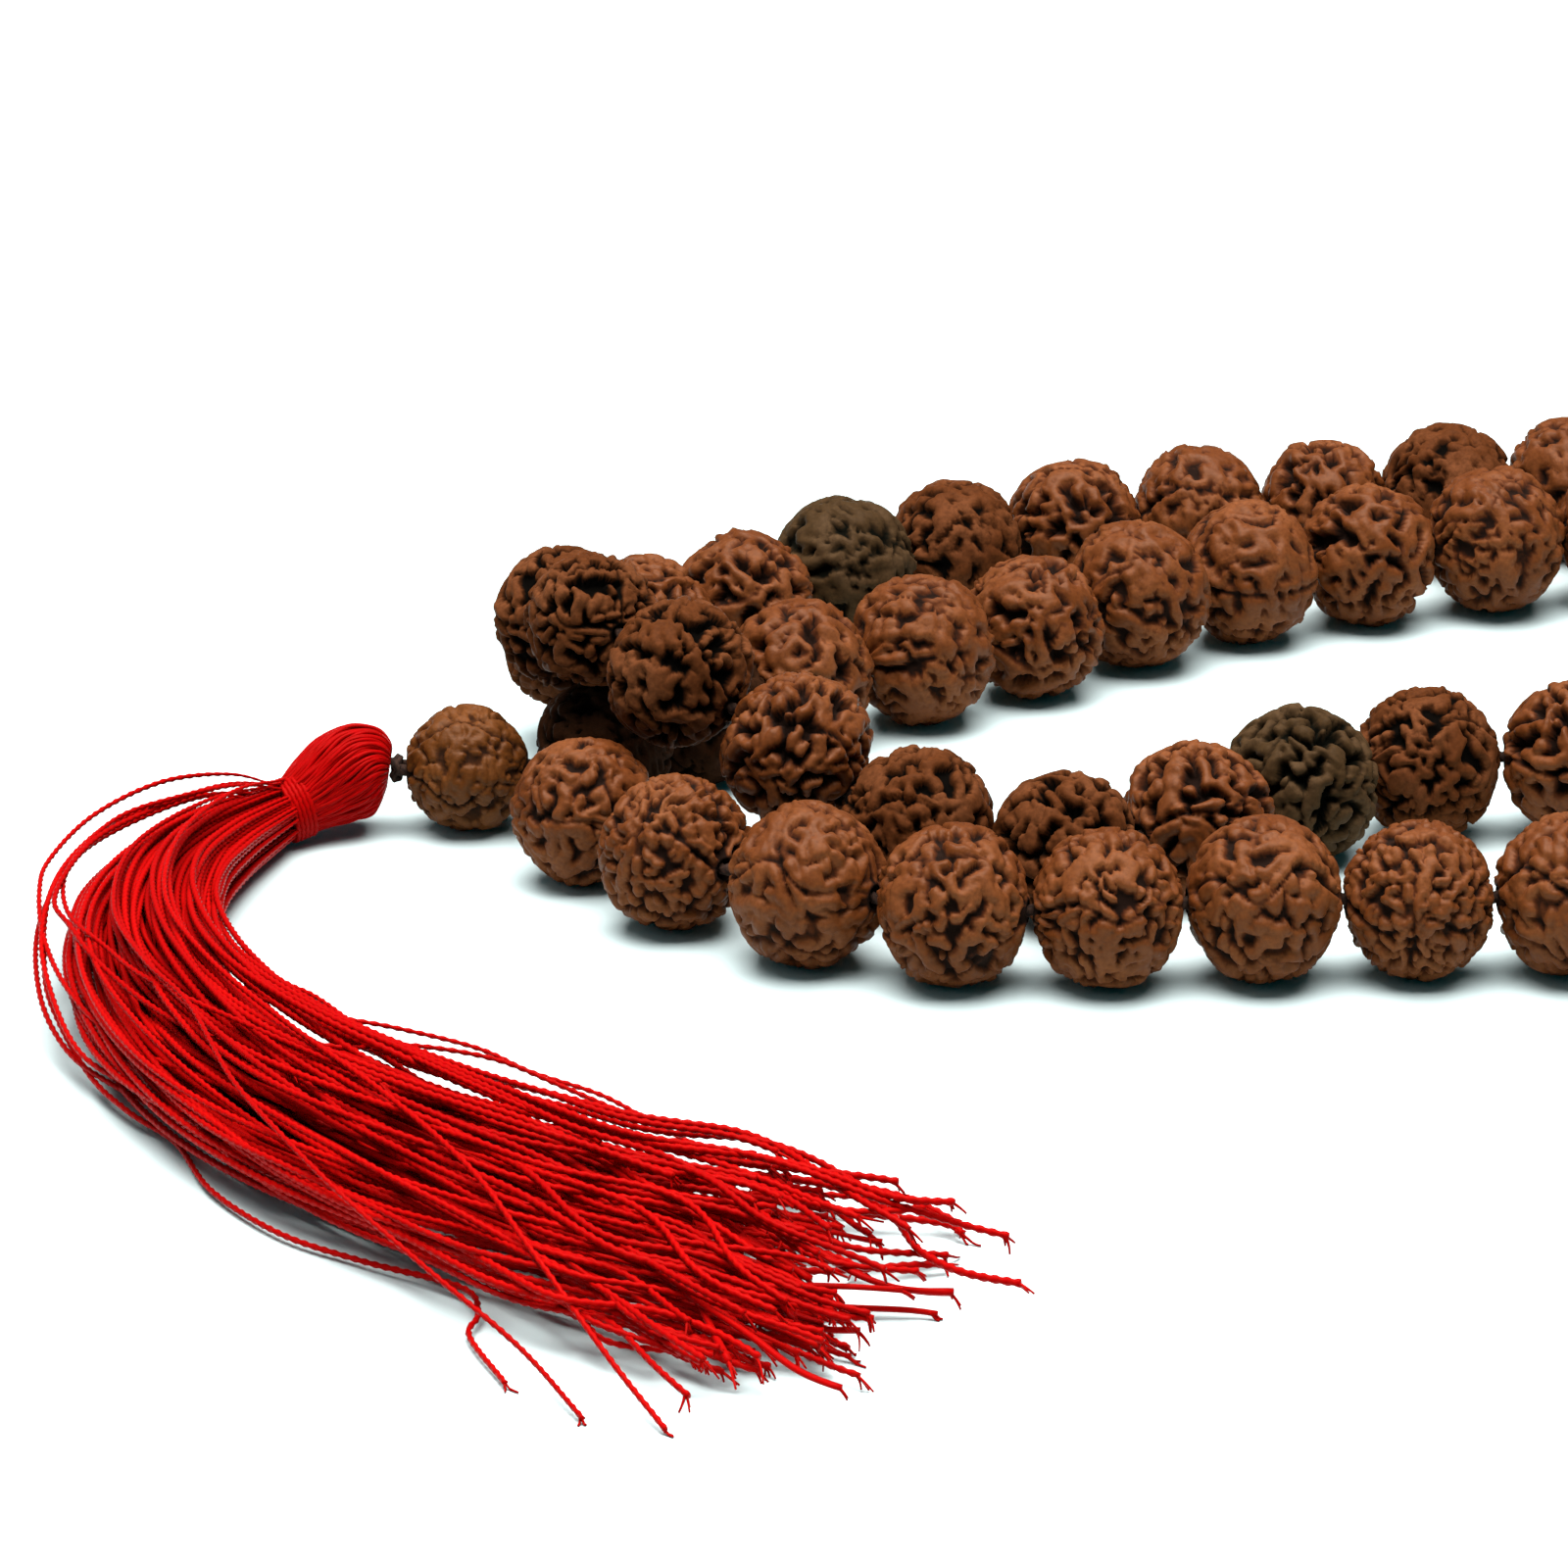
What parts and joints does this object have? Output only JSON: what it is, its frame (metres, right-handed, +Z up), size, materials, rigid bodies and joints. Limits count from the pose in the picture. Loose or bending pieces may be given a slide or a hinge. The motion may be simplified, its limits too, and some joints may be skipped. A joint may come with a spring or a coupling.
{
  "type": "mala prayer beads",
  "caption": "Loop of round carved-looking rudraksha seeds strung on a thin cord, laid down wrapped twice, with a guru bead and a long red silk tassel.",
  "frame": {"origin": "on the table, straight below the middle of the guru bead", "axes": "+X along the strands, away from the tassel; +Y away from the front strand; +Z up from the table"},
  "size_m": [0.2044, 0.1396, 0.0144],
  "materials": {
    "seed": "ridged natural rudraksha seed, oiled, dark crevices",
    "guru_seed": "lighter orange-brown rudraksha seed",
    "cord": "thin dark twisted cotton cord",
    "silk": "red twisted silk thread with a soft sheen"
  },
  "bodies": {
    "cord": {"cord": "cord", "beads_019_to_023": "seed", "beads_024_to_028": "seed", "beads_029_to_033": "seed", "beads_034_to_037": "seed", "beads_076_to_080": "seed", "beads_081_to_085": "seed", "beads_086_to_090": "seed"},
    "knot": {"knot": "cord"},
    "tassel": {"tassel_head": "silk", "neck_binding": "silk", "tassel_skirt": "silk"},
    "guru_bead": {"guru_bead": "guru_seed"},
    "bead_001": {"bead_001": "seed"},
    "bead_002": {"bead_002": "seed"},
    "bead_003": {"bead_003": "seed"},
    "bead_004": {"bead_004": "seed"},
    "bead_005": {"bead_005": "seed"},
    "bead_006": {"bead_006": "seed"},
    "bead_007": {"bead_007": "seed"},
    "bead_008": {"bead_008": "seed"},
    "bead_047": {"bead_047": "seed"},
    "bead_048": {"bead_048": "seed"},
    "bead_049": {"bead_049": "seed"},
    "bead_050": {"bead_050": "seed"},
    "bead_051": {"bead_051": "seed"},
    "bead_052": {"bead_052": "seed"},
    "bead_053": {"bead_053": "seed"},
    "bead_054": {"bead_054": "seed"},
    "bead_055": {"bead_055": "seed"},
    "bead_056": {"bead_056": "seed"},
    "bead_057": {"bead_057": "seed"},
    "bead_058": {"bead_058": "seed"},
    "bead_059": {"bead_059": "seed"},
    "bead_060": {"bead_060": "seed"},
    "bead_061": {"bead_061": "seed"},
    "bead_062": {"bead_062": "seed"},
    "bead_063": {"bead_063": "seed"},
    "bead_064": {"bead_064": "seed"},
    "bead_065": {"bead_065": "seed"},
    "bead_066": {"bead_066": "seed"},
    "bead_100": {"bead_100": "seed"},
    "bead_101": {"bead_101": "seed"},
    "bead_102": {"bead_102": "seed"},
    "bead_103": {"bead_103": "seed"},
    "bead_104": {"bead_104": "seed"},
    "bead_105": {"bead_105": "seed"},
    "bead_106": {"bead_106": "seed"},
    "bead_107": {"bead_107": "seed"},
    "bead_108": {"bead_108": "seed"},
    "beads_009_to_013": {"beads_009_to_013": "seed"},
    "beads_014_to_018": {"beads_014_to_018": "seed"},
    "beads_038_to_041": {"beads_038_to_041": "seed"},
    "beads_042_to_046": {"beads_042_to_046": "seed"},
    "beads_067_to_071": {"beads_067_to_071": "seed"},
    "beads_072_to_075": {"beads_072_to_075": "seed"},
    "beads_091_to_095": {"beads_091_to_095": "seed"},
    "beads_096_to_099": {"beads_096_to_099": "seed"}
  },
  "joints": [
    {"name": "tassel_swing", "type": "hinge", "parent": "cord", "child": "knot", "pos_m": [-0.00382, 0, 0.0033], "axis": [0, 0, 1], "range_deg": [-50, 25]},
    {"name": "tassel_lift", "type": "hinge", "parent": "knot", "child": "tassel", "pos_m": [-0.00382, 0, 0.0033], "axis": [-1, 0, 0], "range_deg": [0, 80]},
    {"name": "guru_turn", "type": "hinge", "parent": "cord", "child": "guru_bead", "pos_m": [0, 0, 0.0033], "axis": [1, 0, 0], "continuous": true},
    {"name": "bead_001_turn", "type": "hinge", "parent": "cord", "child": "bead_001", "pos_m": [0.0062, -0.0076, 0.00372], "axis": [0.4941, -0.8686, 0.0372], "continuous": true},
    {"name": "bead_002_turn", "type": "hinge", "parent": "cord", "child": "bead_002", "pos_m": [0.01077, -0.01396, 0.00388], "axis": [0.7006, -0.7132, 0.0227], "continuous": true},
    {"name": "bead_003_turn", "type": "hinge", "parent": "cord", "child": "bead_003", "pos_m": [0.0173, -0.0189, 0.00408], "axis": [0.8743, -0.4854, 0.0066], "continuous": true},
    {"name": "bead_004_turn", "type": "hinge", "parent": "cord", "child": "bead_004", "pos_m": [0.02437, -0.02151, 0.00398], "axis": [0.9818, -0.1896, -0.009], "continuous": true},
    {"name": "bead_005_turn", "type": "hinge", "parent": "cord", "child": "bead_005", "pos_m": [0.0318, -0.0217, 0.00395], "axis": [0.9994, 0.0338, 0.0076], "continuous": true},
    {"name": "bead_006_turn", "type": "hinge", "parent": "cord", "child": "bead_006", "pos_m": [0.03936, -0.021, 0.0041], "axis": [0.9969, 0.0789, -0.0023], "continuous": true},
    {"name": "bead_007_turn", "type": "hinge", "parent": "cord", "child": "bead_007", "pos_m": [0.0469, -0.0205, 0.00391], "axis": [0.9986, 0.0534, -0.0041], "continuous": true},
    {"name": "bead_008_turn", "type": "hinge", "parent": "cord", "child": "bead_008", "pos_m": [0.0544, -0.0202, 0.00403], "axis": [0.9994, 0.0333, 0.0058], "continuous": true},
    {"name": "bead_047_turn", "type": "hinge", "parent": "cord", "child": "bead_047", "pos_m": [0.0609, 0.0452, 0.00397], "axis": [-0.9666, -0.2564, 0.0057], "continuous": true},
    {"name": "bead_048_turn", "type": "hinge", "parent": "cord", "child": "bead_048", "pos_m": [0.0537, 0.0432, 0.00409], "axis": [-0.9635, -0.2676, -0.0045], "continuous": true},
    {"name": "bead_049_turn", "type": "hinge", "parent": "cord", "child": "bead_049", "pos_m": [0.04655, 0.04122, 0.0039], "axis": [-0.9636, -0.2675, -0.002], "continuous": true},
    {"name": "bead_050_turn", "type": "hinge", "parent": "cord", "child": "bead_050", "pos_m": [0.03944, 0.03924, 0.00406], "axis": [-0.9564, -0.292, 0.0074], "continuous": true},
    {"name": "bead_051_turn", "type": "hinge", "parent": "cord", "child": "bead_051", "pos_m": [0.03233, 0.03687, 0.00401], "axis": [-0.9297, -0.3681, -0.009], "continuous": true},
    {"name": "bead_052_turn", "type": "hinge", "parent": "cord", "child": "bead_052", "pos_m": [0.02566, 0.03378, 0.00392], "axis": [-0.872, -0.4894, 0.0059], "continuous": true},
    {"name": "bead_053_turn", "type": "hinge", "parent": "cord", "child": "bead_053", "pos_m": [0.01947, 0.02965, 0.0041], "axis": [-0.7854, -0.6189, 0.0004], "continuous": true},
    {"name": "bead_054_turn", "type": "hinge", "parent": "cord", "child": "bead_054", "pos_m": [0.014, 0.0246, 0.00393], "axis": [-0.7327, -0.6805, 0.0018], "continuous": true},
    {"name": "bead_055_turn", "type": "hinge", "parent": "cord", "child": "bead_055", "pos_m": [0.0085, 0.01947, 0.00413], "axis": [-0.6066, -0.7861, 0.1188], "continuous": true},
    {"name": "bead_056_turn", "type": "hinge", "parent": "cord", "child": "bead_056", "pos_m": [0.00519, 0.01319, 0.00565], "axis": [-0.2624, -0.8975, 0.3544], "continuous": true},
    {"name": "bead_057_turn", "type": "hinge", "parent": "cord", "child": "bead_057", "pos_m": [0.00486, 0.007, 0.00905], "axis": [0.0916, -0.9134, 0.3967], "continuous": true},
    {"name": "bead_058_turn", "type": "hinge", "parent": "cord", "child": "bead_058", "pos_m": [0.00642, 0.00092, 0.01098], "axis": [0.4788, -0.8762, 0.0559], "continuous": true},
    {"name": "bead_059_turn", "type": "hinge", "parent": "cord", "child": "bead_059", "pos_m": [0.01089, -0.00404, 0.00975], "axis": [0.7483, -0.5926, -0.298], "continuous": true},
    {"name": "bead_060_turn", "type": "hinge", "parent": "cord", "child": "bead_060", "pos_m": [0.0168, -0.0073, 0.00685], "axis": [0.7958, -0.4785, -0.3712], "continuous": true},
    {"name": "bead_061_turn", "type": "hinge", "parent": "cord", "child": "bead_061", "pos_m": [0.0228, -0.0112, 0.0042], "axis": [0.8938, -0.4024, -0.1982], "continuous": true},
    {"name": "bead_062_turn", "type": "hinge", "parent": "cord", "child": "bead_062", "pos_m": [0.03006, -0.01327, 0.00391], "axis": [0.9948, 0.1008, -0.0115], "continuous": true},
    {"name": "bead_063_turn", "type": "hinge", "parent": "cord", "child": "bead_063", "pos_m": [0.03674, -0.00979, 0.00404], "axis": [0.8092, 0.5874, 0.0083], "continuous": true},
    {"name": "bead_064_turn", "type": "hinge", "parent": "cord", "child": "bead_064", "pos_m": [0.04227, -0.00441, 0.00403], "axis": [0.8084, 0.5885, -0.0084], "continuous": true},
    {"name": "bead_065_turn", "type": "hinge", "parent": "cord", "child": "bead_065", "pos_m": [0.04896, -0.00089, 0.00391], "axis": [0.9681, 0.2505, 0.0042], "continuous": true},
    {"name": "bead_066_turn", "type": "hinge", "parent": "cord", "child": "bead_066", "pos_m": [0.0566, -0.0007, 0.0041], "axis": [0.9991, -0.041, 0.0059], "continuous": true},
    {"name": "bead_100_turn", "type": "hinge", "parent": "cord", "child": "bead_100", "pos_m": [0.0556, 0.0349, 0.00409], "axis": [-0.9635, -0.2676, -0.0031], "continuous": true},
    {"name": "bead_101_turn", "type": "hinge", "parent": "cord", "child": "bead_101", "pos_m": [0.04837, 0.03271, 0.00395], "axis": [-0.9373, -0.3485, -0.008], "continuous": true},
    {"name": "bead_102_turn", "type": "hinge", "parent": "cord", "child": "bead_102", "pos_m": [0.04158, 0.02969, 0.00397], "axis": [-0.8735, -0.4868, 0.0087], "continuous": true},
    {"name": "bead_103_turn", "type": "hinge", "parent": "cord", "child": "bead_103", "pos_m": [0.03532, 0.02544, 0.00408], "axis": [-0.799, -0.6013, -0.0048], "continuous": true},
    {"name": "bead_104_turn", "type": "hinge", "parent": "cord", "child": "bead_104", "pos_m": [0.02956, 0.02064, 0.0039], "axis": [-0.7931, -0.6091, -0.0016], "continuous": true},
    {"name": "bead_105_turn", "type": "hinge", "parent": "cord", "child": "bead_105", "pos_m": [0.02345, 0.01633, 0.00406], "axis": [-0.8365, -0.5478, 0.0071], "continuous": true},
    {"name": "bead_106_turn", "type": "hinge", "parent": "cord", "child": "bead_106", "pos_m": [0.01698, 0.0124, 0.00401], "axis": [-0.7822, -0.6228, -0.0177], "continuous": true},
    {"name": "bead_107_turn", "type": "hinge", "parent": "cord", "child": "bead_107", "pos_m": [0.0119, 0.00713, 0.0038], "axis": [-0.6955, -0.7182, -0.0229], "continuous": true},
    {"name": "bead_108_turn", "type": "hinge", "parent": "cord", "child": "bead_108", "pos_m": [0.007, 0.0021, 0.00368], "axis": [-0.7955, -0.6043, -0.045], "continuous": true},
    {"name": "beads_009_to_013_turn", "type": "hinge", "parent": "cord", "child": "beads_009_to_013", "pos_m": [0.07741, -0.02, 0.004], "axis": [1, 0, 0], "continuous": true},
    {"name": "beads_014_to_018_turn", "type": "hinge", "parent": "cord", "child": "beads_014_to_018", "pos_m": [0.11572, -0.02006, 0.004], "axis": [1, -0.0038, 0], "continuous": true},
    {"name": "beads_038_to_041_turn", "type": "hinge", "parent": "cord", "child": "beads_038_to_041", "pos_m": [0.11653, 0.05947, 0.004], "axis": [-0.9668, -0.2556, 0], "continuous": true},
    {"name": "beads_042_to_046_turn", "type": "hinge", "parent": "cord", "child": "beads_042_to_046", "pos_m": [0.08315, 0.05086, 0.004], "axis": [-0.9689, -0.2473, 0], "continuous": true},
    {"name": "beads_067_to_071_turn", "type": "hinge", "parent": "cord", "child": "beads_067_to_071", "pos_m": [0.07888, -0.00262, 0.004], "axis": [0.9972, -0.0749, 0], "continuous": true},
    {"name": "beads_072_to_075_turn", "type": "hinge", "parent": "cord", "child": "beads_072_to_075", "pos_m": [0.11221, -0.00502, 0.004], "axis": [0.9978, -0.0659, 0], "continuous": true},
    {"name": "beads_091_to_095_turn", "type": "hinge", "parent": "cord", "child": "beads_091_to_095", "pos_m": [0.10616, 0.04732, 0.004], "axis": [-0.9704, -0.2413, 0], "continuous": true},
    {"name": "beads_096_to_099_turn", "type": "hinge", "parent": "cord", "child": "beads_096_to_099", "pos_m": [0.07371, 0.03935, 0.004], "axis": [-0.9722, -0.2341, 0], "continuous": true}
  ]
}
